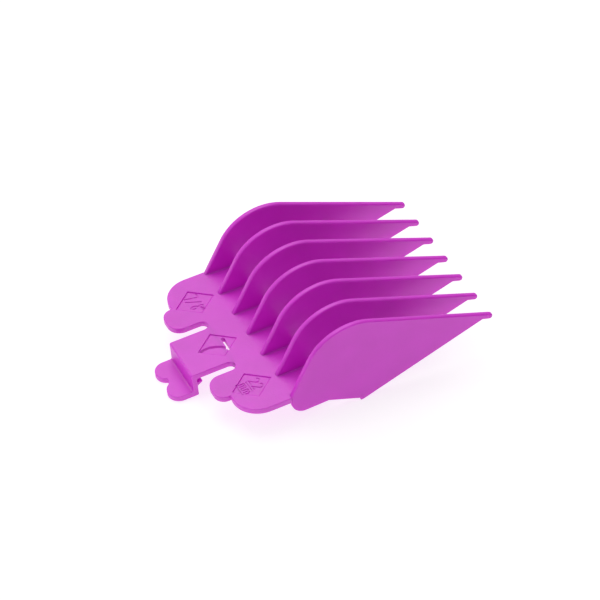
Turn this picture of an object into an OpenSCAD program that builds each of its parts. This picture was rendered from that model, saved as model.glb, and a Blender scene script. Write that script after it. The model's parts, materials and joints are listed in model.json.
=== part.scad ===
// Slide-on guide comb for a hair clipper blade, standing as it rests on a table.
// The plate's top face at the rear edge of the middle tooth is the working origin
// of every module: +X to the right, +Y towards the tooth tips, +Z to the skin.
// at_rest() then turns and lifts the comb onto its blade stops and thumb tab.

/* [Teeth] */
// Number of teeth
tooth_count = 7; // [5:2:9]
// Distance from one tooth to the next
tooth_pitch = 8.2; // [6.5:0.1:9]
// Thickness of a tooth
tooth_t = 1.35; // [1.1:0.05:1.8]
// Reach of a tooth from its rear edge to its tip
tooth_reach = 54.1; // [44:0.1:66]
// Turn of the outermost teeth towards the middle, in degrees
toe_in = 1.65; // [0:0.05:2.2]
// Height of the skin line over the foot of the blade stops
guard_h = 22.8; // [16:0.1:28]
// Fall of the skin line towards the tips, in degrees
skin_slope = 23.4; // [16:0.2:27]
// Rise of a tooth's rear edge, in degrees
rear_slope = 58.5; // [50:0.5:66]
// Radius of the shoulder between the rear edge and the skin line
shoulder_r = 13.3; // [9:0.1:15]
// Thickness of the round nose at a tooth's tip
nose_t = 1.5; // [1:0.05:1.8]

/* [Plate] */
// Thickness of the plate, the ears and the latch tongue
plate_t = 1.65; // [1.3:0.05:2.2]
// Plate's front edge, ahead of the teeth's rear edge
plate_front = 9.4; // [7.5:0.1:10.5]
// Radius of an ear's large outer lobe
outer_lobe_r = 6.8; // [5.6:0.05:7.6]
// Distance of the outer lobe's centre behind the teeth's rear edge
outer_lobe_back = 5.3; // [4.4:0.1:6]
// Radius of the inner lobe's corner beside the slot
inner_lobe_r = 3.4; // [2.8:0.1:3.6]
// Radius of the inner lobe's corner beside the outer lobe
inner_corner_r = 2.75; // [2.3:0.05:3]
// Distance between the centres of the inner lobe's two corners
inner_lobe_step = 1.6; // [1:0.05:2]
// Reach of the inner lobe behind the teeth's rear edge
inner_lobe_back = 15.2; // [13.6:0.1:16]

/* [Blade seat] */
// Depth of the side rails below the plate
rail_depth = 4.1; // [3:0.1:4.6]
// Radius of a rail's rear lower corner
rail_corner_r = 3.5; // [2:0.1:3.5]
// Blade's front edge, ahead of the teeth's rear edge
stop_y = 16.7; // [14.5:0.1:19]
// Length of the blade stop along its foot
stop_l = 1; // [0.8:0.1:1.6]
// Height and length of the small nub that the comb rests on
nub = 0.65; // [0.4:0.05:0.9]

/* [Latch] */
// Width of the latch tongue
tongue_w = 13.2; // [11:0.1:15]
// Width of the slots beside the tongue
slot_w = 2.85; // [2.2:0.05:3.2]
// Closed end of the slots, behind the teeth's rear edge
slot_end = 6.7; // [5.6:0.1:7.4]
// Rear face of the riser, behind the teeth's rear edge
riser_back = 17.4; // [15.6:0.05:19]
// Thickness of the riser
riser_t = 1.3; // [1.1:0.05:2]
// Drop from the plate's top face to the thumb tab's top face
riser_drop = 5.2; // [4.4:0.1:5.8]
// Thickness of the thumb tab
tab_t = 1.6; // [1:0.05:1.8]
// Radius of each of the thumb tab's two lobes
tab_lobe_r = 3.05; // [2.6:0.05:4]
// Reach of the web between the lobes, behind their centres
tab_web = 1.2; // [0.6:0.1:1.6]
// Reach of the thumb tab behind the riser's rear face
tab_reach = 5.5; // [5:0.05:7]
// Length of the strip that bends, from the slots' closed end
flexure_l = 5.1; // [4:0.1:6]
// Width of the catch under the tongue
catch_w = 11.5; // [8:0.5:12]
// Reach of the catch ahead of the riser
catch_reach = 1.6; // [0.8:0.1:1.9]
// Height of the catch against the riser
catch_h = 1.4; // [0.8:0.1:1.7]
// Gap under the tongue that takes the blade's rear lip
lip_gap = 1.8; // [1.5:0.1:2]

/* [Size marks] */
// Half of a mark's diagonal from side to side
mark_half_x = 4.45; // [4:0.05:4.7]
// Half of a mark's diagonal from rear to front
mark_half_y = 5.15; // [4:0.05:5.5]
// Depth of a mark's recess
mark_depth = 0.2; // [0.1:0.05:0.3]
// Distance of the side marks' centres from the middle
side_mark_x = 16.45; // [16:0.05:17]
// Distance of the side marks' centres behind the teeth's rear edge
side_mark_back = 6.2; // [6:0.05:6.5]
// Distance of the middle mark's centre behind the teeth's rear edge
middle_mark_back = 7.65; // [7.2:0.05:7.8]

/* [Hidden] */
$fn = 96;
comb_w = (tooth_count - 1) * tooth_pitch + tooth_t;
half_w = comb_w / 2;
middle_tooth = (tooth_count + 1) / 2;
nose_r = nose_t / 2;
tongue_x = tongue_w / 2;
ear_x = tongue_x + slot_w;
slot_x = tongue_x + slot_w / 2;
plate_x = half_w - tooth_t;
plate_front_x = plate_x - plate_front * tan(toe_in);
// The outlines of the ears and the tongue run into the plate as far as this
join_y = -outer_lobe_back / 2;
// A tooth steps down past the plate's front edge with this much to spare
step_gap = 0.03;
step_y = plate_front + step_gap;

// Unit vectors in a tooth's plane, as [y, z]: along the skin line towards the
// tips, square to it towards the skin, and up the rear edge
along = [cos(skin_slope), -sin(skin_slope)];
out = [sin(skin_slope), cos(skin_slope)];
rear = [cos(rear_slope), sin(rear_slope)];

// Points of the blade seat: the blade's bevel runs parallel to the skin line
bevel_fall = tan(skin_slope);
rail_z = -plate_t - rail_depth;
stop_top_z = -plate_t - (stop_y - plate_front) * bevel_fall;
stop_foot_z = stop_top_z - rail_depth;
lip = [stop_y + stop_l, stop_foot_z - stop_l * bevel_fall];
nub_front = lip + [nub, -nub];

// Skin line, shoulder and nose
skin_at_lip = lip + guard_h * out;
corner_up = (skin_at_lip * out) / (rear * out);
tangent_l = shoulder_r * tan((rear_slope + skin_slope) / 2);
corner = corner_up * rear;
shoulder_start = (corner_up - tangent_l) * rear;
shoulder_end = corner + tangent_l * along;
shoulder_centre = shoulder_start + shoulder_r * [rear[1], -rear[0]];
nose_run = (tooth_reach - nose_r + nose_r * out[0] - corner[0]) / along[0];
skin_end = corner + nose_run * along;
nose_centre = skin_end - nose_r * out;
nose_under = skin_end - nose_t * out;
nose_corner_top = skin_end + nose_r * along;
nose_corner_under = nose_under + nose_r * along;
// A round stands this much proud, so that it crosses its edges at a clean angle
round_proud = 0.005;
// The ramp from the nub meets the nose's underside this far behind its centre
nose_back = 1.95;
ramp_end = nose_under - nose_back * along;

// Latch heights
tab_z = -riser_drop;
tab_bottom_z = tab_z - tab_t;
catch_z = -plate_t - lip_gap;
tab_back = riser_back + tab_reach;
tab_lobe_x = tongue_x - tab_lobe_r;

// Resting attitude: the nubs and the rear of the thumb tab meet the table
rest_tilt = atan2(tab_bottom_z - nub_front[1], nub_front[0] + tab_back);
rest_lift = -(nub_front[0] * sin(rest_tilt) + nub_front[1] * cos(rest_tilt));
front_reach = nose_centre[0] * cos(rest_tilt) - nose_centre[1] * sin(rest_tilt) + nose_r;
back_reach = tab_back * cos(rest_tilt) + tab_z * sin(rest_tilt);
rest_back = (front_reach - back_reach) / 2;

plastic = [0.72, 0.27, 0.71];

// Places a piece as the comb stands on a table, with the origin under the middle
module at_rest() {
    translate([0, -rest_back, rest_lift]) rotate([rest_tilt, 0, 0]) children();
}

// An outline drawn in [y, z], made a wall of thickness t centred on x
module wall(x, t) {
    translate([x - t / 2, 0, 0]) rotate([90, 0, 90]) linear_extrude(t) children();
}

// A wall in a tooth's place, toed in about its inner rear corner
module tooth_wall(number) {
    step = number - middle_tooth;
    side = sign(step);
    pivot_x = step * tooth_pitch - side * tooth_t / 2;
    translate([pivot_x, 0, 0])
        rotate([0, 0, toe_in * step / (middle_tooth - 1)])
            wall(side * tooth_t / 2, tooth_t) children();
}

// One side's ear, in plan
module ear_outline() {
    corner_y = -inner_lobe_back + inner_corner_r;
    lobe_x = ear_x + inner_lobe_r;
    translate([half_w - outer_lobe_r, -outer_lobe_back]) circle(outer_lobe_r);
    translate([lobe_x, -inner_lobe_back + inner_lobe_r]) circle(inner_lobe_r);
    translate([lobe_x + inner_lobe_step, corner_y]) circle(inner_corner_r);
    polygon([
        [ear_x, join_y],
        [ear_x, -inner_lobe_back + inner_lobe_r],
        [lobe_x, -inner_lobe_back],
        [lobe_x + inner_lobe_step, -inner_lobe_back],
        [lobe_x + inner_lobe_step + inner_corner_r, corner_y],
        [half_w - outer_lobe_r, -outer_lobe_back],
        [half_w - outer_lobe_r, join_y],
    ]);
}

// Plan of the whole plate with its ears and tongue, in one piece
module plate_outline() {
    difference() {
        union() {
            polygon([
                [-half_w, -outer_lobe_back],
                [half_w, -outer_lobe_back],
                [half_w, 0],
                [plate_x, 0],
                [plate_front_x, plate_front],
                [-plate_front_x, plate_front],
                [-plate_x, 0],
                [-half_w, 0],
            ]);
            ear_outline();
            mirror([1, 0]) ear_outline();
            translate([-tongue_x - slot_w, -slot_end - slot_w])
                square([2 * ear_x, slot_end + slot_w + join_y]);
            translate([-tongue_x, -riser_back + riser_t])
                square([tongue_w, riser_back - riser_t + join_y]);
        }
        for (side = [-1, 1]) {
            translate([side * slot_x, -slot_end - slot_w / 2]) circle(slot_w / 2);
            translate([side * slot_x - slot_w / 2, -inner_lobe_back - 1])
                square([slot_w, inner_lobe_back + 1 - slot_end - slot_w / 2]);
        }
    }
}

// The diamond recesses that hold the size marks
module mark_recesses() {
    places = [
        [-side_mark_x, -side_mark_back],
        [0, -middle_mark_back],
        [side_mark_x, -side_mark_back],
    ];
    for (place = places)
        translate([place[0], place[1], -mark_depth])
            linear_extrude(1) polygon([
                [mark_half_x, 0],
                [0, mark_half_y],
                [-mark_half_x, 0],
                [0, -mark_half_y],
            ]);
}

// The stretch of the plate that lies in the rectangle from low to high
module plate_piece(low, high) {
    at_rest() difference() {
        translate([0, 0, -plate_t]) linear_extrude(plate_t) intersection() {
            plate_outline();
            translate(low) square(high - low);
        }
        mark_recesses();
    }
}

module base_plate() {
    color(plastic) plate_piece([-half_w, -slot_end], [half_w, plate_front]);
}

module right_ear() {
    color(plastic) plate_piece([slot_x, -inner_lobe_back - 1], [half_w, -slot_end]);
}

module left_ear() {
    color(plastic) plate_piece([-half_w, -inner_lobe_back - 1], [-slot_x, -slot_end]);
}

// What a round of radius r about centre trims off the corner inside points
module round_off(centre, r, points) {
    past_edge = 1.2;
    difference() {
        polygon([for (point = points) centre + past_edge * (point - centre)]);
        translate(centre) circle(r + round_proud, $fn = 180);
    }
}

// Side view of a tooth, from its foot on the plate to its round nose
module tooth_outline() {
    difference() {
        polygon([
            [0, 0],
            corner,
            nose_corner_top,
            nose_corner_under,
            ramp_end,
            nub_front,
            lip + [0, -nub],
            lip,
            [stop_y, stop_foot_z],
            [stop_y, stop_top_z],
            [step_y, -plate_t],
            [step_y, 0],
        ]);
        round_off(shoulder_centre, shoulder_r,
            [shoulder_centre, shoulder_start, corner, shoulder_end]);
        round_off(nose_centre, nose_r,
            [skin_end, nose_corner_top, nose_corner_under, nose_under]);
    }
}

module tooth(number) {
    color(plastic) at_rest() tooth_wall(number) tooth_outline();
}

// Side rail that closes the plate's edge and guides the blade's side below it
module rail(number) {
    color(plastic) at_rest() tooth_wall(number) {
        polygon([
            [0, 0],
            [0, rail_z + rail_corner_r],
            [rail_corner_r, rail_z + rail_corner_r],
            [rail_corner_r, rail_z],
            [plate_front, rail_z],
            [stop_y, stop_foot_z],
            [stop_y, stop_top_z],
            [step_y, -plate_t],
            [step_y, 0],
        ]);
        translate([rail_corner_r, rail_z + rail_corner_r]) intersection() {
            circle(rail_corner_r);
            translate([-rail_corner_r, -rail_corner_r]) square(rail_corner_r);
        }
    }
}

module latch_flexure() {
    color(plastic) plate_piece([-slot_x, -slot_end - flexure_l], [slot_x, -slot_end]);
}

module latch_tongue() {
    color(plastic)
        plate_piece([-slot_x, -riser_back + riser_t], [slot_x, -slot_end - flexure_l]);
}

module latch_riser() {
    color(plastic) at_rest() translate([-tongue_x, -riser_back, tab_z])
        cube([tongue_w, riser_t, riser_drop]);
}

// Wedge on the riser that holds the blade's rear lip: flat on top, sloped below
module latch_catch() {
    front_y = -riser_back + riser_t;
    nose_h = catch_h / 3;
    color(plastic) at_rest() wall(0, catch_w) polygon([
        [front_y, catch_z],
        [front_y + catch_reach, catch_z],
        [front_y + catch_reach, catch_z - nose_h],
        [front_y, catch_z - catch_h],
    ]);
}

// Two-lobed tab that the thumb lifts to let the blade go
module latch_thumb_tab() {
    lobe_y = -tab_back + tab_lobe_r;
    color(plastic) at_rest() translate([0, 0, tab_bottom_z]) linear_extrude(tab_t) {
        for (side = [-1, 1]) translate([side * tab_lobe_x, lobe_y]) circle(tab_lobe_r);
        translate([-tongue_x, lobe_y]) square([tongue_w, -riser_back + riser_t - lobe_y]);
        translate([-tab_lobe_x, lobe_y - tab_web]) square([2 * tab_lobe_x, tab_web + tab_lobe_r]);
    }
}

base_plate();
left_ear();
right_ear();
rail(1);  // left_rail
rail(tooth_count);  // right_rail
for (number = [1:tooth_count])
    tooth(number);
latch_flexure();
latch_tongue();
latch_riser();
latch_catch();
latch_thumb_tab();
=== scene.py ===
# %% [markdown]
# # A slide-on guide comb, finished in Blender
#
# A guide comb clips over a hair clipper's blade and holds it at a set distance from the skin.
# The real one is a single moulding in tinted plastic: a flat plate, seven tall teeth, two ears
# and a springy latch with a thumb tab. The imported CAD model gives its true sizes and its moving
# latch. This lesson rebuilds its looks around that frame: soft moulded edges, size marks cut
# into the plate, and a satin plastic that takes on a deeper colour between the teeth.

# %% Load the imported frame
import json
import math

import bmesh
import bpy
from mathutils import Euler, Matrix, Vector


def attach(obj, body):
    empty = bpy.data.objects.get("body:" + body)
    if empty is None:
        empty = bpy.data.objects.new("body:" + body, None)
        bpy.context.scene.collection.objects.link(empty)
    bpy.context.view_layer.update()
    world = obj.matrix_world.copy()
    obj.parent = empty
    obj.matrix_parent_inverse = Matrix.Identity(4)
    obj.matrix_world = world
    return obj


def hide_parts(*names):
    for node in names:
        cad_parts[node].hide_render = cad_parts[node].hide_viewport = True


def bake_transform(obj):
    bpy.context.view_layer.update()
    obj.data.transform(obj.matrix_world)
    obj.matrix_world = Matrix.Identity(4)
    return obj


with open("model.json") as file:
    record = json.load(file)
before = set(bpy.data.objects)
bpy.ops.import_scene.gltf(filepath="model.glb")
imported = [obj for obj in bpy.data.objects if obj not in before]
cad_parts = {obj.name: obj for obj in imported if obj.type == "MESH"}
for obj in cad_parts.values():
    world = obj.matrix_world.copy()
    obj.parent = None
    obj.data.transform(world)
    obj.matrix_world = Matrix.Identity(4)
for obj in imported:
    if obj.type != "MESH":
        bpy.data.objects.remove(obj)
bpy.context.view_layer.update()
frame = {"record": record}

MM = 0.001

# %% [markdown]
# ## Where the comb's own drawing lies
#
# The comb rests tilted, on the small nubs under its teeth and on its thumb tab. Its drawing is
# simpler to follow flat, with the origin on the plate's top face at the rear edge of the middle
# tooth, +Y towards the tips and +Z towards the skin. The record's blade seat says how the plate
# is turned and where it is, so one matrix takes any point of the drawing to its place. The
# other ways would be to turn each object, which a finished piece may not keep, or to repeat the
# angle as a number, which would go stale when the CAD changes.

# %% The drawing's sizes, in millimetres
TOOTH_COUNT = 7
TOOTH_PITCH = 8.2
TOOTH_T = 1.35
TOOTH_REACH = 54.1
TOE_IN = 1.65
GUARD_H = 22.8
SKIN_SLOPE = 23.4
REAR_SLOPE = 58.5
SHOULDER_R = 13.3
NOSE_T = 1.5

PLATE_T = 1.65
PLATE_FRONT = 9.4
OUTER_LOBE_R = 6.8
OUTER_LOBE_BACK = 5.3
INNER_LOBE_R = 3.4
INNER_CORNER_R = 2.75
INNER_LOBE_STEP = 1.6
INNER_LOBE_BACK = 15.2

RAIL_DEPTH = 4.1
RAIL_CORNER_R = 3.5
STOP_Y = 16.7
STOP_L = 1
NUB = 0.65

TONGUE_W = 13.2
SLOT_W = 2.85
SLOT_END = 6.7
RISER_BACK = 17.4
RISER_T = 1.3
RISER_DROP = 5.2
TAB_T = 1.6
TAB_LOBE_R = 3.05
TAB_WEB = 1.2
TAB_REACH = 5.5
CATCH_W = 11.5
CATCH_REACH = 1.6
CATCH_H = 1.4
LIP_GAP = 1.8

half_w = ((TOOTH_COUNT - 1) * TOOTH_PITCH + TOOTH_T) / 2
tongue_x = TONGUE_W / 2
ear_x = tongue_x + SLOT_W
slot_x = tongue_x + SLOT_W / 2
tab_back = RISER_BACK + TAB_REACH
print("width of the comb in mm:", round(2 * half_w, 2))

# %% The matrix from the drawing to the frame
seat = next(mount for mount in frame["record"]["mounts"] if mount["name"] == "blade_seat")
SEAT_MIDDLE_Y = 1.35
seat_middle = Vector((0, SEAT_MIDDLE_Y, -PLATE_T)) * MM
rest_tilt = math.atan2(seat["axis"][1], -seat["axis"][2])
turn = Matrix.Rotation(rest_tilt, 4, "X")
at_rest = Matrix.Translation(Vector(seat["pos_m"]) - turn @ seat_middle) @ turn
print("the plate rises by", round(math.degrees(rest_tilt), 2), "degrees")


def placed(x, y, z):
    """A point of the drawing, in millimetres, at its place in the frame, in metres."""
    return at_rest @ (Vector((x, y, z)) * MM)


# %% [markdown]
# ## The camera
#
# The comb is seen from above and from its right rear corner, through a long lens that keeps the
# teeth nearly parallel. Placing the camera by a point to look at, a direction and a distance
# keeps its three choices apart, where a bare location and rotation would hide them. A small roll
# tips the frame a little. Depth of field stays off.

# %% Camera
AIM = Vector((-1.094, -0.996, 12.662)) * MM
AZIMUTH = 65.299
ELEVATION = 41.128
ROLL = -1.07
DISTANCE = 753.3 * MM
LENS = 188.35
SENSOR_W = 36
NEAREST = 0.05
FARTHEST = 10

camera = bpy.data.objects.new("camera", bpy.data.cameras.new("camera"))
bpy.context.scene.collection.objects.link(camera)
bpy.context.scene.camera = camera
camera.data.lens = LENS
camera.data.sensor_width = SENSOR_W
camera.data.clip_start = NEAREST
camera.data.clip_end = FARTHEST
outward = Vector((
    math.sin(math.radians(AZIMUTH)) * math.cos(math.radians(ELEVATION)),
    -math.cos(math.radians(AZIMUTH)) * math.cos(math.radians(ELEVATION)),
    math.sin(math.radians(ELEVATION)),
))
camera.location = AIM + outward * DISTANCE
level_view = (-outward).to_track_quat("-Z", "Y").to_matrix().to_4x4()
camera.rotation_euler = (level_view @ Matrix.Rotation(math.radians(ROLL), 4, "Z")).to_euler()
print("camera at", [round(value, 3) for value in camera.location])

# %% [markdown]
# ## Helpers for outlines
#
# A moulding is drawn as flat outlines of straight runs and arcs, as a mould maker draws it. An
# arc is worked out here from its centre, radius and two angles, so a curve is never a list of
# typed points. The step along an arc is a length, not a count, so small and large rounds come
# out equally smooth.

# %% Arcs, angles and crossings
ARC_STEP = 0.3
FEWEST_STEPS = 6


def arc(centre, radius, start, end):
    """Points along an arc, from one angle to another in degrees."""
    sweep = math.radians(end - start)
    steps = max(FEWEST_STEPS, round(abs(sweep) * radius / ARC_STEP))
    angles = [math.radians(start) + sweep * step / steps for step in range(steps + 1)]
    return [(centre[0] + radius * math.cos(a), centre[1] + radius * math.sin(a)) for a in angles]


def angle_of(centre, point):
    """The direction from centre to point, in degrees."""
    return math.degrees(math.atan2(point[1] - centre[1], point[0] - centre[0]))


def crossing(centre_a, radius_a, centre_b, radius_b, side):
    """Where two circles cross, left (side 1) or right (side -1) of the way from a to b."""
    a, b = Vector(centre_a), Vector(centre_b)
    apart = (b - a).length
    along = (apart**2 + radius_a**2 - radius_b**2) / (2 * apart)
    across = math.sqrt(radius_a**2 - along**2)
    way = (b - a) / apart
    return a + along * way + side * across * Vector((-way.y, way.x))


print("a step along an arc is about", ARC_STEP, "mm long")

# %% Closed solids from rings of points
MERGE_WITHIN = 1e-7


def mesh_object(name, bm):
    """A new object that holds the bmesh, with its faces turned outwards."""
    bmesh.ops.remove_doubles(bm, verts=bm.verts, dist=MERGE_WITHIN)
    loose = [edge for edge in bm.edges if not edge.link_faces]
    bmesh.ops.delete(bm, geom=loose, context="EDGES")
    bmesh.ops.recalc_face_normals(bm, faces=bm.faces)
    mesh = bpy.data.meshes.new(name)
    bm.to_mesh(mesh)
    bm.free()
    made = bpy.data.objects.new(name, mesh)
    bpy.context.scene.collection.objects.link(made)
    return made


def loft(name, rings):
    """A closed solid: a face on the first and the last ring, and a band from each to the next."""
    bm = bmesh.new()
    loops = [[bm.verts.new(point) for point in ring] for ring in rings]
    bm.faces.new(loops[0])
    bm.faces.new(loops[-1])
    for lower, upper in zip(loops, loops[1:]):
        for index in range(len(lower)):
            after = (index + 1) % len(lower)
            bm.faces.new((lower[index], lower[after], upper[after], upper[index]))
    return mesh_object(name, bm)


def prism(name, outline, low, high, point):
    """A flat outline, carried from low to high. point(a, b, c) places each corner."""
    return loft(name, [[point(a, b, c) for a, b in outline] for c in (low, high)])


print("corners closer than", MERGE_WITHIN / MM, "mm are merged")


def in_plan(x, y, z):
    """For an outline in plan, given depth along Z."""
    return placed(x, y, z)


def in_profile(y, z, x):
    """For an outline in side view, given depth along X."""
    return placed(x, y, z)


# %% Modifiers, applied at once
def apply_modifiers(piece):
    """Turns what the modifiers make into the piece's own plain mesh."""
    depsgraph = bpy.context.evaluated_depsgraph_get()
    made = bpy.data.meshes.new_from_object(
        piece.evaluated_get(depsgraph), preserve_all_data_layers=True, depsgraph=depsgraph
    )
    piece.modifiers.clear()
    piece.data = made


def combine(piece, operation, other, crosses_itself=False):
    """Cuts, joins or keeps what is common with the other solid, which is then removed."""
    modifier = piece.modifiers.new(operation, "BOOLEAN")
    modifier.operation = operation
    modifier.solver = "EXACT"
    modifier.use_self = crosses_itself
    modifier.object = other
    apply_modifiers(piece)
    bpy.data.objects.remove(other)


ROUND_SEGMENTS = 4
LEAST_ANGLE = 35


def soften(piece, width):
    """Rounds each edge that is sharper than the least angle, as a mould's edges are."""
    modifier = piece.modifiers.new("soft edges", "BEVEL")
    modifier.width = width * MM
    modifier.segments = ROUND_SEGMENTS
    modifier.limit_method = "ANGLE"
    modifier.angle_limit = math.radians(LEAST_ANGLE)
    modifier.use_clamp_overlap = False
    apply_modifiers(piece)


SHARP = math.radians(38)
LARGE_FACE_WEIGHT = 60


def even_shading(piece):
    """Smooth over the rounds and flat over the faces, whose size decides the shading."""
    bm = bmesh.new()
    bm.from_mesh(piece.data)
    for face in bm.faces:
        face.smooth = True
    for edge in bm.edges:
        edge.smooth = len(edge.link_faces) == 2 and edge.calc_face_angle() < SHARP
    bm.to_mesh(piece.data)
    bm.free()
    modifier = piece.modifiers.new("even shading", "WEIGHTED_NORMAL")
    modifier.keep_sharp = True
    modifier.weight = LARGE_FACE_WEIGHT
    apply_modifiers(piece)


def report(piece):
    """Prints a piece's triangles and volume, and how many edges are open or shared by over two faces."""
    bm = bmesh.new()
    bm.from_mesh(piece.data)
    uneven = sum(1 for edge in bm.edges if len(edge.link_faces) != 2)
    triangles = sum(len(face.verts) - 2 for face in bm.faces)
    volume = bm.calc_volume() / MM**3
    print(f"{piece.name}: {triangles} triangles, {uneven} edges without two faces, {volume:.0f} mm3")
    bm.free()


print("edges that turn by under", round(math.degrees(SHARP)), "degrees are shaded smooth")


# %% [markdown]
# ## The plastic
#
# The comb is tinted through and through, so one colour makes the whole look and the rest comes
# from its skin. A mould's polished walls leave the teeth satin, and its spark-eroded floor
# leaves the plate with a fine grain and a little more gleam. Both are the same magenta. The
# grain is noise on Object coordinates, fed to the bump and, faintly, to the colour and the
# roughness. A picture of plastic would be quicker, but would stretch over the curves.

# %% Plastic
PLASTIC_IOR = 1.65
GLOW_WEIGHT = 0.45
GLOW_DEPTH = 1.6
GLOW_RADIUS = (1.0, 0.25, 0.9)
TINT_DEEP = (0.69, 0.012, 0.655, 1)
TINT_PALE = (0.74, 0.016, 0.71, 1)
TINT_FLOW = 9
NOISE_LOW = 0.3
NOISE_HIGH = 0.7
GLOSS_SWING = 0.03


def add_node(tree, kind, **inputs):
    """A node with the given values on its input sockets."""
    node = tree.nodes.new(kind)
    for name, value in inputs.items():
        node.inputs[name].default_value = value
    return node


def moulded_plastic(name, grain_size, grain_depth, roughness, gleam):
    """Tinted satin plastic with a grain of the given size and depth, in millimetres."""
    material = bpy.data.materials.new(name)
    material.use_nodes = True
    tree = material.node_tree
    skin = tree.nodes["Principled BSDF"]
    skin.inputs["IOR"].default_value = PLASTIC_IOR
    skin.inputs["Specular IOR Level"].default_value = gleam
    skin.inputs["Subsurface Weight"].default_value = GLOW_WEIGHT
    skin.inputs["Subsurface Scale"].default_value = GLOW_DEPTH * MM
    skin.inputs["Subsurface Radius"].default_value = GLOW_RADIUS
    place = add_node(tree, "ShaderNodeTexCoord")

    grain_scale = 1 / (grain_size * MM)
    grain = add_node(tree, "ShaderNodeTexNoise", Scale=grain_scale, Detail=3.0, Roughness=0.6)
    tree.links.new(place.outputs["Object"], grain.inputs["Vector"])
    bump = add_node(tree, "ShaderNodeBump", Strength=1.0, Distance=grain_depth * MM)
    tree.links.new(grain.outputs["Fac"], bump.inputs["Height"])
    tree.links.new(bump.outputs["Normal"], skin.inputs["Normal"])

    flow_scale = 1 / (TINT_FLOW * MM)
    flow = add_node(tree, "ShaderNodeTexNoise", Scale=flow_scale, Detail=2.0, Roughness=0.5)
    tree.links.new(place.outputs["Object"], flow.inputs["Vector"])
    tint = tree.nodes.new("ShaderNodeValToRGB")
    tint.color_ramp.elements[0].position = NOISE_LOW
    tint.color_ramp.elements[0].color = TINT_DEEP
    tint.color_ramp.elements[1].position = NOISE_HIGH
    tint.color_ramp.elements[1].color = TINT_PALE
    tree.links.new(flow.outputs["Fac"], tint.inputs["Fac"])
    tree.links.new(tint.outputs["Color"], skin.inputs["Base Color"])

    swing = {
        "From Min": NOISE_LOW,
        "From Max": NOISE_HIGH,
        "To Min": roughness - GLOSS_SWING,
        "To Max": roughness + GLOSS_SWING,
    }
    gloss = add_node(tree, "ShaderNodeMapRange", **swing)
    tree.links.new(grain.outputs["Fac"], gloss.inputs["Value"])
    tree.links.new(gloss.outputs["Result"], skin.inputs["Roughness"])
    return material


satin = moulded_plastic("satin_plastic", grain_size=0.6, grain_depth=0.004, roughness=0.42, gleam=0.55)
grained = moulded_plastic("grained_plastic", grain_size=0.45, grain_depth=0.05, roughness=0.42, gleam=0.75)
print("finishes:", satin.name, "and", grained.name)

# %% [markdown]
# ## The plate, the ears and the latch, as one body
#
# These share one sheet of plastic, so they are drawn together. Seen from above it is an outline
# of lobes and two open slots. Seen from the side it is a strip that bends down into the riser
# and out again into the thumb tab. The body is what both outlines have in common: one prism
# stands on the plan, one lies along the side view, and a boolean keeps their intersection. Box
# modelling would reach the same form with many more steps, and would lose the true arcs. The
# catch is rounded by itself and joined last, because the rounds of both would cross at its foot.

# %% The plan's right half, from the rear to the front
EDGE_ROUND = 0.2
WALL_LAP = 0.6

tab_lobe = (tongue_x - TAB_LOBE_R, -tab_back + TAB_LOBE_R)
notch_turn = math.degrees(math.asin(TAB_WEB / TAB_LOBE_R))
slot_round = (slot_x, -SLOT_END - SLOT_W / 2)
inner_lobe = (ear_x + INNER_LOBE_R, -INNER_LOBE_BACK + INNER_LOBE_R)
inner_corner = (inner_lobe[0] + INNER_LOBE_STEP, -INNER_LOBE_BACK + INNER_CORNER_R)
outer_lobe = (half_w - OUTER_LOBE_R, -OUTER_LOBE_BACK)
ear_notch = crossing(inner_corner, INNER_CORNER_R, outer_lobe, OUTER_LOBE_R, -1)
front_x = half_w - WALL_LAP - PLATE_FRONT * math.tan(math.radians(TOE_IN))

right_half = [
    *arc(tab_lobe, TAB_LOBE_R, notch_turn - 180, 0),
    *arc(slot_round, SLOT_W / 2, 180, 0),
    *arc(inner_lobe, INNER_LOBE_R, 180, 270),
    *arc(inner_corner, INNER_CORNER_R, -90, angle_of(inner_corner, ear_notch)),
    *arc(outer_lobe, OUTER_LOBE_R, angle_of(outer_lobe, ear_notch), 0),
    (half_w, 0),
    (half_w - WALL_LAP, WALL_LAP),
    (front_x, PLATE_FRONT),
]
left_half = [(-x, y) for x, y in reversed(right_half) if x > 0]
plan = right_half + left_half
print("the plan has", len(plan), "points")

# %% The side view: plate, riser and thumb tab
OVER = 2
BEND_OUT = 0.45
BEND_IN = 0.5
FOOT_ROUND = 0.4
UNDER_ROUND = 0.3

riser_front = -RISER_BACK + RISER_T
tab_bottom = -RISER_DROP - TAB_T
side_view = [
    (PLATE_FRONT + OVER, 0),
    *arc((-RISER_BACK + BEND_OUT, -BEND_OUT), BEND_OUT, 90, 180),
    *arc((-RISER_BACK - BEND_IN, -RISER_DROP + BEND_IN), BEND_IN, 0, -90),
    (-tab_back - OVER, -RISER_DROP),
    (-tab_back - OVER, tab_bottom),
    *arc((riser_front - FOOT_ROUND, tab_bottom + FOOT_ROUND), FOOT_ROUND, -90, 0),
    *arc((riser_front + UNDER_ROUND, -PLATE_T - UNDER_ROUND), UNDER_ROUND, 180, 90),
    (PLATE_FRONT + OVER, -PLATE_T),
]

catch_top = -PLATE_T - LIP_GAP
catch_nose = CATCH_H / 3
catch_view = [
    (riser_front - RISER_T / 2, catch_top),
    (riser_front + CATCH_REACH, catch_top),
    (riser_front + CATCH_REACH, catch_top - catch_nose),
    (riser_front, catch_top - CATCH_H),
    (riser_front - RISER_T / 2, catch_top - CATCH_H),
]
print("the side view has", len(side_view), "points, and the catch", len(catch_view))

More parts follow.
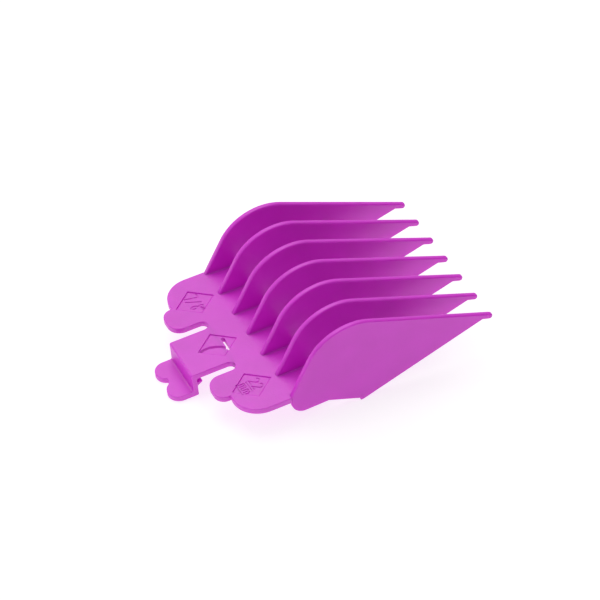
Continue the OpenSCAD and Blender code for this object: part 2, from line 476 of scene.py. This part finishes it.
# %% The body: common to both prisms, plus the catch
body = prism("body", plan, tab_bottom - OVER, OVER, in_plan)
bent_sheet = prism("bent_sheet", side_view, -half_w - OVER, half_w + OVER, in_profile)
combine(body, "INTERSECT", bent_sheet)
soften(body, EDGE_ROUND)
catch = prism("catch", catch_view, -CATCH_W / 2, CATCH_W / 2, in_profile)
soften(catch, EDGE_ROUND)
combine(body, "UNION", catch)
report(body)

# %% [markdown]
# ## The size marks
#
# Three shallow diamonds carry the size: the number of the comb, and the hair length it leaves in
# inches and in millimetres. The large 7 is cut right through the tongue. The others are fine
# grooves in the diamonds' floors. A groove is a stroke: a line of points given a width, with
# its corners mitred. The strokes are real cuts, because bump alone would vanish at a low angle
# and would not be in the exported shape.

# %% Strokes as closed outlines
SHARPEST_MITRE = 0.5
OVAL_STEPS = 20


def stroke(points, width, closed=False):
    """The outline of a line of points, drawn with a pen of the given width."""
    path = [Vector(point) for point in points]
    last = len(path) - 1
    sides = ([], [])
    for index, point in enumerate(path):
        before = path[index - 1] if index or closed else None
        after = path[(index + 1) % len(path)] if index < last or closed else None
        into = (point - before).normalized() if before else (after - point).normalized()
        onward = (after - point).normalized() if after else into
        across = Vector((-into.y - onward.y, into.x + onward.x)).normalized()
        reach = width / 2 / max(SHARPEST_MITRE, across.dot(Vector((-into.y, into.x))))
        sides[0].append(tuple(point + across * reach))
        sides[1].append(tuple(point - across * reach))
    if closed:
        return [*sides[0], sides[0][0], sides[1][0], *reversed(sides[1])]
    return sides[0] + sides[1][::-1]


def oval(centre, radius_x, radius_y):
    """Points round an ellipse."""
    turns = [2 * math.pi * step / OVAL_STEPS for step in range(OVAL_STEPS)]
    return [(centre[0] + radius_x * math.cos(t), centre[1] + radius_y * math.sin(t)) for t in turns]


print("an oval has", OVAL_STEPS, "points")

# %% [markdown]
# The numerals are drawn in millimetres on the plate, reading along +X with their feet towards the
# thumb tab. Each is a few points of the pen's path, with arcs where the figure is round.

# %% The figures' pen paths
MARK_HALF_X = 4.45
MARK_HALF_Y = 5.15
MARK_DEPTH = 0.2
side_mark = (16.45, -6.2)
middle_mark = (0, -7.65)
HEAD_START = 165
HEAD_END = -35


def figure_two(left, foot, width, height):
    """A 2: a round head, a slanting neck and a flat foot."""
    head_r = width / 2
    head = (left + head_r, foot + height - head_r)
    return [*arc(head, head_r, HEAD_START, HEAD_END), (left, foot), (left + width, foot)]


def letter_m(left, foot, width, height):
    """An m of three stems under two arches, as separate paths."""
    span = width / 2
    top = foot + height - span / 2
    stems = [[(left + span * stem, foot), (left + span * stem, top)] for stem in range(3)]
    arches = [arc((left + span * (gap + 0.5), top), span / 2, 180, 0) for gap in range(2)]
    return stems + arches


inch_paths = [
    [(-19.25, -4.75), (-17.9, -4.75), (-18.75, -8.15)],
    [(-15.95, -4.65), (-17.8, -8.3)],
    [(-13.85, -4.75), (-14.0, -5.6)],
    [(-13.3, -4.75), (-13.45, -5.6)],
]
inch_loops = [oval((-14.95, -7.1), 0.65, 1.0), oval((-14.75, -5.35), 0.55, 0.75)]
two_paths = [figure_two(14.75, -6.3, 1.35, 2.5), figure_two(16.75, -6.3, 1.35, 2.5)]
metric_paths = [
    [(14.6, -6.95), (18.4, -6.9)],
    *letter_m(14.9, -9.05, 1.4, 1.55),
    *letter_m(16.95, -9.05, 1.4, 1.55),
    [(14.6, -9.5), (18.5, -9.5)],
]
seven_paths = [
    [(-1.8, -5.6), (2.7, -5.6)],
    [(2.25, -5.6), (0.95, -6.95), (0.2, -8.2), (-0.25, -9.7), (-0.2, -11.1), (0.2, -12.3)],
]
print("pen paths:", len(inch_paths + inch_loops + two_paths + metric_paths + seven_paths))

# %% A cutter for a diamond
PEN = 0.3
PEN_DEPTH = 0.2
RIM_W = 0.16
RIM_DEPTH = 0.1
SEVEN_PEN = 0.85
DRAFT = 0.12


def diamond_cutter(centre):
    """A shallow diamond with leaning walls, and a finer groove all round its floor."""
    rings = []
    steps = [
        (-MARK_DEPTH, -DRAFT - 2 * RIM_W),
        (-MARK_DEPTH - RIM_DEPTH, -DRAFT - RIM_W),
        (-MARK_DEPTH - RIM_DEPTH, -DRAFT),
        (0, 0),
        (OVER, 0),
    ]
    for z, grow in steps:
        half_x, half_y = MARK_HALF_X + grow, MARK_HALF_Y + grow
        corners = [(half_x, 0), (0, half_y), (-half_x, 0), (0, -half_y)]
        rings.append([placed(centre[0] + x, centre[1] + y, z) for x, y in corners])
    return loft("diamond_cutter", rings)


print("a mark is", 2 * MARK_HALF_X, "by", 2 * MARK_HALF_Y, "mm, and", MARK_DEPTH, "mm deep")

# %% Cutting the marks
# Grooves that overlap with floors at one level would leave stray edges, so each lies a little deeper.
groove_bottom = -MARK_DEPTH - PEN_DEPTH
LEVEL_STEP = 0.003
CORE_SHARE = 0.5

for centre in ((-side_mark[0], side_mark[1]), side_mark, middle_mark):
    combine(body, "DIFFERENCE", diamond_cutter(centre))
for number, path in enumerate(inch_paths + two_paths + metric_paths):
    groove = prism("groove", stroke(path, PEN), groove_bottom - number * LEVEL_STEP, OVER, in_plan)
    combine(body, "DIFFERENCE", groove, crosses_itself=path in two_paths)
for loop in inch_loops:
    ring = prism("groove", [*loop], groove_bottom, OVER, in_plan)
    centre = sum((Vector(point) for point in loop), Vector((0, 0))) / len(loop)
    inner = [tuple(centre + (Vector(point) - centre) * CORE_SHARE) for point in loop]
    combine(ring, "DIFFERENCE", prism("core", inner, groove_bottom - OVER, 2 * OVER, in_plan))
    combine(body, "DIFFERENCE", ring)
for path in seven_paths:
    seven = prism("seven", stroke(path, SEVEN_PEN), -PLATE_T - OVER, OVER, in_plan)
    combine(body, "DIFFERENCE", seven)
report(body)

# %% [markdown]
# ## Parting the latch from the plate
#
# The latch bends along the strip between the slots, so what lies behind the slots' closed ends
# is a piece of its own. Cutting the finished body along that line, rather than modelling two
# pieces, leaves matching edges on both sides, so the parting can't be seen. The ears lie behind
# the same line but stay with the plate: only faces between the slots go with the latch.

# %% Plate and latch
CUT_WITHIN = 1e-8


def parted(source, name, behind):
    """A copy of source that keeps only the latch (behind is True) or only the rest, closed again."""
    bm = bmesh.new()
    bm.from_mesh(source.data)
    cut_point = placed(0, -SLOT_END, 0)
    rearward = at_rest.to_3x3() @ Vector((0, -1, 0))
    everything = bm.verts[:] + bm.edges[:] + bm.faces[:]
    bmesh.ops.bisect_plane(
        bm, geom=everything, dist=CUT_WITHIN, plane_co=cut_point, plane_no=rearward
    )
    unwanted = []
    for face in bm.faces:
        middle = face.calc_center_median()
        is_latch = (middle - cut_point).dot(rearward) > 0 and abs(middle.x) < slot_x * MM
        if is_latch != behind:
            unwanted.append(face)
    bmesh.ops.delete(bm, geom=unwanted, context="FACES")
    rim = [edge for edge in bm.edges if len(edge.link_faces) == 1]
    bmesh.ops.holes_fill(bm, edges=rim, sides=0)
    return mesh_object(name, bm)


plate = parted(body, "plate_and_ears", behind=False)
latch = parted(body, "latch_with_thumb_tab", behind=True)
bpy.data.objects.remove(body)
for piece in (plate, latch):
    piece.data.materials.clear()
    piece.data.materials.append(grained)
    even_shading(piece)
    report(piece)

# %% [markdown]
# ## One tooth, and one outer wall
#
# A tooth is a thin blade of plastic. Its skin side and its rear edge are rounded nearly to a
# half circle so that it glides, while its lower edges are only broken. The flat outline is set
# in by a growing amount as it nears each side face, which gives every point its own radius. A
# bevel modifier would need one width for all edges, or weights painted by hand.

# %% The outline from the rear foot, over the skin line, to the blade stop
slope = math.radians(SKIN_SLOPE)
along = Vector((math.cos(slope), -math.sin(slope)))
out = Vector((math.sin(slope), math.cos(slope)))
rear = Vector((math.cos(math.radians(REAR_SLOPE)), math.sin(math.radians(REAR_SLOPE))))
nose_r = NOSE_T / 2

stop_top = Vector((STOP_Y, -PLATE_T - (STOP_Y - PLATE_FRONT) * math.tan(slope)))
stop_foot = stop_top - Vector((0, RAIL_DEPTH))
lip = stop_foot + Vector((STOP_L, -STOP_L * math.tan(slope)))
nub_front = lip + Vector((NUB, -NUB))

corner = (lip + GUARD_H * out).dot(out) / rear.dot(out) * rear
tangent = SHOULDER_R * math.tan(math.radians(REAR_SLOPE + SKIN_SLOPE) / 2)
shoulder = corner - tangent * rear + SHOULDER_R * Vector((rear.y, -rear.x))
nose_run = (TOOTH_REACH - nose_r + nose_r * out.x - corner.x) / along.x
skin_end = corner + nose_run * along
nose = skin_end - nose_r * out
RAMP_BACK = 1.95
ramp_end = skin_end - NOSE_T * out - RAMP_BACK * along

skin_side = [
    *arc(shoulder, SHOULDER_R, 90 + REAR_SLOPE, 90 - SKIN_SLOPE),
    *arc(nose, nose_r, 90 - SKIN_SLOPE, -90 - SKIN_SLOPE),
]
nub_rear = lip - Vector((0, NUB))
under_side = [tuple(point) for point in (ramp_end, nub_front, nub_rear, lip, stop_foot)]
print("a tooth stands", round(max(z for y, z in skin_side), 1), "mm over the plate")

# %% A rounded blade from an outline
SKIN_ROUND = 0.45
UNDER_EDGE = 0.22
SUNK = 0.5
ROUND_STEPS = 6
BLUNTEST_MITRE = 0.3


def rounded_blade(name, outline, radii):
    """A wall of a tooth's thickness whose edges are rounded by each point's own radius."""
    count = len(outline)
    points = [Vector(point) for point in outline]
    area = sum(points[i].cross(points[(i + 1) % count]) for i in range(count))
    inward = 1 if area > 0 else -1
    mitres = []
    for index, point in enumerate(points):
        before = (point - points[index - 1]).normalized()
        after = (points[(index + 1) % count] - point).normalized()
        normals = [inward * Vector((-way.y, way.x)) for way in (before, after)]
        mitres.append((normals[0] + normals[1]) / max(BLUNTEST_MITRE, 1 + normals[0].dot(normals[1])))
    rings = []
    for side in (-1, 1):
        steps = range(ROUND_STEPS + 1) if side == 1 else range(ROUND_STEPS, -1, -1)
        for step in steps:
            turned = math.pi / 2 * step / ROUND_STEPS
            ring = []
            for point, mitre, radius in zip(points, mitres, radii):
                spot = point + mitre * radius * (1 - math.cos(turned))
                depth = TOOTH_T / 2 - radius * (1 - math.sin(turned))
                ring.append(Vector((side * depth, spot.x, spot.y)) * MM)
            rings.append(ring)
    return loft(name, rings)


print("each edge is rounded in", ROUND_STEPS, "steps")

# %% A tooth and an outer wall
foot = [
    tuple(stop_top),
    (PLATE_FRONT, -PLATE_T),
    (PLATE_FRONT - SUNK, -PLATE_T + SUNK),
    (SUNK, -SUNK),
    (0, 0),
]
rail_z = -PLATE_T - RAIL_DEPTH
rail = [
    (PLATE_FRONT, rail_z),
    *arc((RAIL_CORNER_R, rail_z + RAIL_CORNER_R), RAIL_CORNER_R, -90, -180),
    (0, 0),
]


def edge_radii(outline):
    """Full rounds along the skin side and the rear edge, and broken edges elsewhere."""
    full = set(skin_side) | {(0, 0)}
    return [SKIN_ROUND if point in full else UNDER_EDGE for point in outline]


tooth_outline = skin_side + under_side + foot
wall_outline = skin_side + under_side + rail
tooth = rounded_blade("tooth", tooth_outline, edge_radii(tooth_outline))
wall = rounded_blade("outer_wall", wall_outline, edge_radii(wall_outline))
report(tooth)
report(wall)

# %% [markdown]
# ## The row of teeth
#
# Seven blades stand at an even pitch, each turned a little towards the middle, and the outermost
# two are outer walls that run down past the plate as rails. That is a rule, so Geometry Nodes
# place them: a line of points, a turn that grows with the distance from the middle, and one of
# two blades on each point. Copies made by hand would not follow when the count or the pitch
# changes.

# %% A node group with named inputs
def node_group(name, inputs):
    """An empty Geometry Nodes tree, with its input and output nodes and the named inputs."""
    tree = bpy.data.node_groups.new(name, "GeometryNodeTree")
    for label, kind in inputs:
        tree.interface.new_socket(name=label, in_out="INPUT", socket_type=kind)
    tree.interface.new_socket(name="Geometry", in_out="OUTPUT", socket_type="NodeSocketGeometry")
    return tree, tree.nodes.new("NodeGroupInput"), tree.nodes.new("NodeGroupOutput")


# %% Numbers and vectors in a tree
def math_node(tree, operation, first, second):
    """A Math node whose two inputs are numbers or output sockets."""
    node = tree.nodes.new("ShaderNodeMath")
    node.operation = operation
    for socket, value in zip(node.inputs, (first, second)):
        if isinstance(value, (int, float)):
            socket.default_value = value
        else:
            tree.links.new(value, socket)
    return node.outputs["Value"]


def vector_node(tree, x, y, z):
    """A vector from three numbers or output sockets."""
    node = tree.nodes.new("ShaderNodeCombineXYZ")
    for socket, value in zip(node.inputs, (x, y, z)):
        if isinstance(value, (int, float)):
            socket.default_value = value
        else:
            tree.links.new(value, socket)
    return node.outputs["Vector"]


# %% The fan of points
def fan_of_points(tree, given, ahead):
    """The row's points, each shifted along its own tooth by ahead, and each tooth's turn and place."""
    last = math_node(tree, "SUBTRACT", given.outputs["Count"], 1)
    middle = math_node(tree, "DIVIDE", last, 2)
    index = tree.nodes.new("GeometryNodeInputIndex").outputs["Index"]
    place = math_node(tree, "SUBTRACT", index, middle)
    share = math_node(tree, "DIVIDE", place, middle)
    turned = math_node(tree, "MULTIPLY", share, given.outputs["Toe-in"])
    slide = math_node(tree, "MULTIPLY", math_node(tree, "SINE", turned, 0), -ahead)
    x = math_node(tree, "ADD", math_node(tree, "MULTIPLY", place, given.outputs["Pitch"]), slide)
    y = math_node(tree, "MULTIPLY", math_node(tree, "COSINE", turned, 0), ahead)
    line = tree.nodes.new("GeometryNodeMeshLine")
    tree.links.new(given.outputs["Count"], line.inputs["Count"])
    move = tree.nodes.new("GeometryNodeSetPosition")
    tree.links.new(line.outputs["Mesh"], move.inputs["Geometry"])
    tree.links.new(vector_node(tree, x, y, 0), move.inputs["Position"])
    return move.outputs["Geometry"], turned, place, middle


# %% Instances, and the end of a tree
def instances(tree, points, chosen, source, rotation):
    """The source object on each chosen point."""
    info = tree.nodes.new("GeometryNodeObjectInfo")
    tree.links.new(source, info.inputs["Object"])
    put = tree.nodes.new("GeometryNodeInstanceOnPoints")
    tree.links.new(points, put.inputs["Points"])
    tree.links.new(chosen, put.inputs["Selection"])
    tree.links.new(info.outputs["Geometry"], put.inputs["Instance"])
    tree.links.new(rotation, put.inputs["Rotation"])
    return put.outputs["Instances"]


def finish_group(tree, given, done, parts):
    """Joins the instances, makes them real, puts them at rest and gives them their material."""
    join = tree.nodes.new("GeometryNodeJoinGeometry")
    for part in parts:
        tree.links.new(part, join.inputs["Geometry"])
    stand = tree.nodes.new("GeometryNodeTransform")
    stand.inputs["Translation"].default_value = at_rest.to_translation()
    stand.inputs["Rotation"].default_value = Euler((rest_tilt, 0, 0))
    real = tree.nodes.new("GeometryNodeRealizeInstances")
    paint = tree.nodes.new("GeometryNodeSetMaterial")
    tree.links.new(join.outputs["Geometry"], stand.inputs["Geometry"])
    tree.links.new(stand.outputs["Geometry"], real.inputs["Geometry"])
    tree.links.new(real.outputs["Geometry"], paint.inputs["Geometry"])
    tree.links.new(given.outputs["Material"], paint.inputs["Material"])
    tree.links.new(paint.outputs["Geometry"], done.inputs["Geometry"])


# %% From a tree to a plain mesh
def grown(name, tree, values):
    """A plain mesh object made by the tree, with its named inputs set to the given values."""
    made = mesh_object(name, bmesh.new())
    modifier = made.modifiers.new(name, "NODES")
    modifier.node_group = tree
    for item in tree.interface.items_tree:
        if item.item_type == "SOCKET" and item.in_out == "INPUT":
            modifier[item.identifier] = values[item.name]
    apply_modifiers(made)
    return made


print("tools for node trees are ready")

# %% Seven blades in a fan
HALF_A_PLACE = 0.5
ROW_INPUTS = [
    ("Count", "NodeSocketInt"),
    ("Pitch", "NodeSocketFloat"),
    ("Toe-in", "NodeSocketFloat"),
    ("Material", "NodeSocketMaterial"),
]
row_values = {
    "Count": TOOTH_COUNT,
    "Pitch": TOOTH_PITCH * MM,
    "Toe-in": math.radians(TOE_IN),
    "Material": satin,
}

tree, given, done = node_group(
    "tooth_row", [("Tooth", "NodeSocketObject"), ("Outer wall", "NodeSocketObject"), *ROW_INPUTS]
)
points, turned, place, middle = fan_of_points(tree, given, 0)
rotation = vector_node(tree, 0, 0, turned)
from_middle = math_node(tree, "ABSOLUTE", place, 0)
last_inner = math_node(tree, "SUBTRACT", middle, HALF_A_PLACE)
is_wall = math_node(tree, "GREATER_THAN", from_middle, last_inner)
is_tooth = math_node(tree, "SUBTRACT", 1, is_wall)
finish_group(tree, given, done, [
    instances(tree, points, is_tooth, given.outputs["Tooth"], rotation),
    instances(tree, points, is_wall, given.outputs["Outer wall"], rotation),
])
teeth = grown("comb_teeth", tree, {"Tooth": tooth, "Outer wall": wall, **row_values})
even_shading(teeth)
report(teeth)
for pattern in (tooth, wall):
    bpy.data.objects.remove(pattern)

# %% [markdown]
# ## Fillets at the teeth's roots
#
# Where a tooth grows out of the plate the mould leaves a small hollow round, which also stops the
# tooth from cracking off. It is one short strip with a hollow corner section, laid along both
# sides of each tooth, and only along the inner side of the outer walls. The same fan of points
# places it, turned by half a turn for the other side, so nothing is mirrored and no face ends up
# inside out.

# %% One fillet strip
FILLET_R = 0.28
FILLET_LAP = 0.15
FILLET_REAR = 0.15
FADE_RUN = 0.4
FADE_SIZE = 0.3


def fillet_strip(name, length):
    """A strip with a hollow round towards +X, in the corner between a tooth's side and the plate."""
    hollow = arc((FILLET_R, FILLET_R), FILLET_R, 180, 270)
    section = [(-FILLET_LAP, FILLET_R), *hollow, (FILLET_R, -FILLET_LAP), (-FILLET_LAP, -FILLET_LAP)]
    fading = [
        (-length / 2, FADE_SIZE),
        (-length / 2 + FADE_RUN, 1),
        (length / 2 - FADE_RUN, 1),
        (length / 2, FADE_SIZE),
    ]
    rings = []
    for y, size in fading:
        ring = []
        for x, z in section:
            spot = Vector((TOOTH_T / 2 + x * size, y, z * size))
            ring.append(spot * MM)
        rings.append(ring)
    return loft(name, rings)


print("a fillet's radius is", FILLET_R, "mm")

# %% The fillets in the same fan
strip_length = PLATE_FRONT - 2 * FILLET_REAR
strip = fillet_strip("fillet", strip_length)
tree, given, done = node_group("root_fillets", [("Strip", "NodeSocketObject"), *ROW_INPUTS])
points, turned, place, middle = fan_of_points(tree, given, (FILLET_REAR + strip_length / 2) * MM)
half_turn = math_node(tree, "ADD", turned, math.pi)
before_last = math_node(tree, "SUBTRACT", middle, HALF_A_PLACE)
has_right = math_node(tree, "LESS_THAN", place, before_last)
after_first = math_node(tree, "SUBTRACT", HALF_A_PLACE, middle)
has_left = math_node(tree, "GREATER_THAN", place, after_first)
finish_group(tree, given, done, [
    instances(tree, points, has_right, given.outputs["Strip"], vector_node(tree, 0, 0, turned)),
    instances(tree, points, has_left, given.outputs["Strip"], vector_node(tree, 0, 0, half_turn)),
])
fillets = grown("root_fillets", tree, {"Strip": strip, **row_values})
bpy.data.objects.remove(strip)
even_shading(fillets)
report(fillets)

# %% [markdown]
# ## What each piece rides on, and what it stands for
#
# The plate, the ears and the teeth are one rigid body. The latch is a strip that bends, but its
# piece is only fixed where it lies: it rides on no body and nothing blends it between its two ends.
# The CAD parts that the new pieces stand for are hidden.

# %% Riding, and hiding the CAD parts
for piece in (plate, teeth, fillets):
    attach(piece, "comb")
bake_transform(latch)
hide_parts("base_plate", "left_ear", "right_ear")
tooth_nodes = [f"tooth_{number}" for number in range(1, TOOTH_COUNT + 1)]
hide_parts("left_rail", "right_rail", *tooth_nodes)
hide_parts("latch_flexure", "latch_tongue", "latch_riser", "latch_catch", "latch_thumb_tab")

# %% [markdown]
# ## Floor and light
#
# A pale floor and a large soft light from above keep the plastic's own colour in charge. The floor
# gives off some light of its own, which keeps it nearly white under the comb. The sky is white
# and graded: brightest above the comb's left rear, and dim low down at its right front, so the
# gloss has something plain to mirror and the outer wall stays darker than the plate.

# %% Floor
FLOOR_HALF = 3
FLOOR_GREY = 0.4
FLOOR_GLOW = 0.74

bm = bmesh.new()
bmesh.ops.create_grid(bm, x_segments=1, y_segments=1, size=FLOOR_HALF)
floor = mesh_object("floor", bm)
floor_material = bpy.data.materials.new("pale_floor")
floor_material.use_nodes = True
floor_skin = floor_material.node_tree.nodes["Principled BSDF"]
floor_skin.inputs["Base Color"].default_value = (FLOOR_GREY, FLOOR_GREY, FLOOR_GREY, 1)
floor_skin.inputs["Emission Color"].default_value = (1, 1, 1, 1)
floor_skin.inputs["Emission Strength"].default_value = FLOOR_GLOW
floor_skin.inputs["Roughness"].default_value = 0.9
floor_skin.inputs["Specular IOR Level"].default_value = 0.1
floor.data.materials.append(floor_material)
print("the floor is", 2 * FLOOR_HALF, "m wide")

# %% Light
SKY_LOW = 0.1
SKY_HIGH = 0.88
SKY_SIDE = (-0.45, -0.25, 0.8)
SKY_DIMMEST = -0.3
SOFTBOX_PLACE = (-0.28, 0.0, 0.78)
SOFTBOX_SIZE = 0.6
SOFTBOX_POWER = 2.0

world = bpy.data.worlds.new("studio")
world.use_nodes = True
world.node_tree.nodes["Background"].inputs["Color"].default_value = (1, 1, 1, 1)
sky = world.node_tree
direction = add_node(sky, "ShaderNodeTexCoord")
towards = add_node(sky, "ShaderNodeVectorMath")
towards.operation = "DOT_PRODUCT"
towards.inputs[1].default_value = SKY_SIDE
graded = {"From Min": SKY_DIMMEST, "To Min": SKY_LOW, "To Max": SKY_HIGH}
brightness = add_node(sky, "ShaderNodeMapRange", **graded)
sky.links.new(direction.outputs["Generated"], towards.inputs[0])
sky.links.new(towards.outputs["Value"], brightness.inputs["Value"])
sky.links.new(brightness.outputs["Result"], sky.nodes["Background"].inputs["Strength"])
bpy.context.scene.world = world
bpy.context.scene.view_settings.view_transform = "Standard"


def soft_light(name, location, size, power):
    """A square light of the given size that looks at the comb."""
    light = bpy.data.objects.new(name, bpy.data.lights.new(name, "AREA"))
    bpy.context.scene.collection.objects.link(light)
    light.data.size = size
    light.data.energy = power
    light.location = location
    light.rotation_euler = (AIM - Vector(location)).to_track_quat("-Z", "Y").to_euler()


soft_light("overhead_softbox", SOFTBOX_PLACE, SOFTBOX_SIZE, SOFTBOX_POWER)
